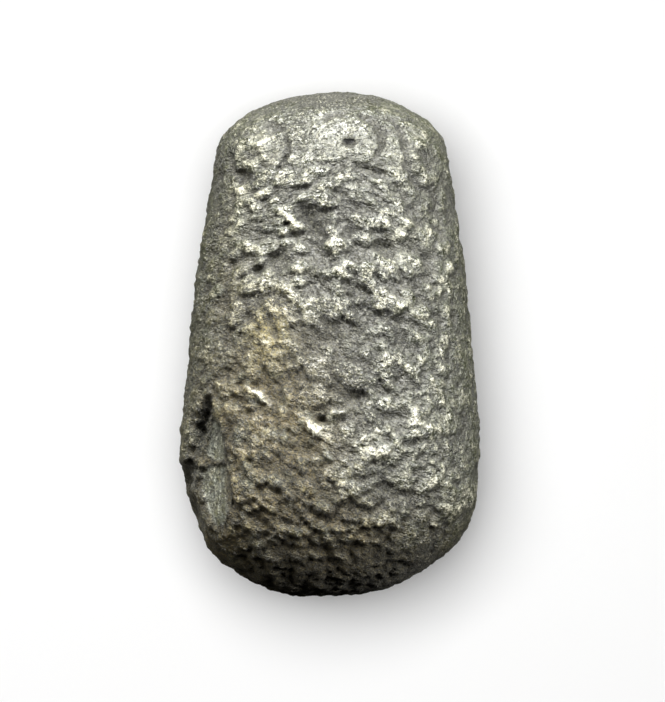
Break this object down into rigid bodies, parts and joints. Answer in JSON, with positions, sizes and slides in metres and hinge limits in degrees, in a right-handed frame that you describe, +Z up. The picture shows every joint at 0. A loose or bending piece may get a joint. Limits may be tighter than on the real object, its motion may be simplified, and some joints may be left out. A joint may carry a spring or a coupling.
{
  "type": "stone grinding tool",
  "caption": "Hand-held grinding stone, long and tapered, with a narrow grip end, a broad rounded working end, a pecked face and a flake scar on one flank.",
  "frame": {"origin": "under the middle of the stone, on the small flat that it rests on", "axes": "+Y along the stone towards the narrow grip end, +X to the right across it as seen from above, +Z up out of the face"},
  "size_m": [0.0748, 0.126, 0.0563],
  "materials": {
    "stone": "pecked and worn, with a dull sheen from handling and brown staining"
  },
  "bodies": {
    "root": {"grinding_stone": "stone"}
  },
  "joints": []
}
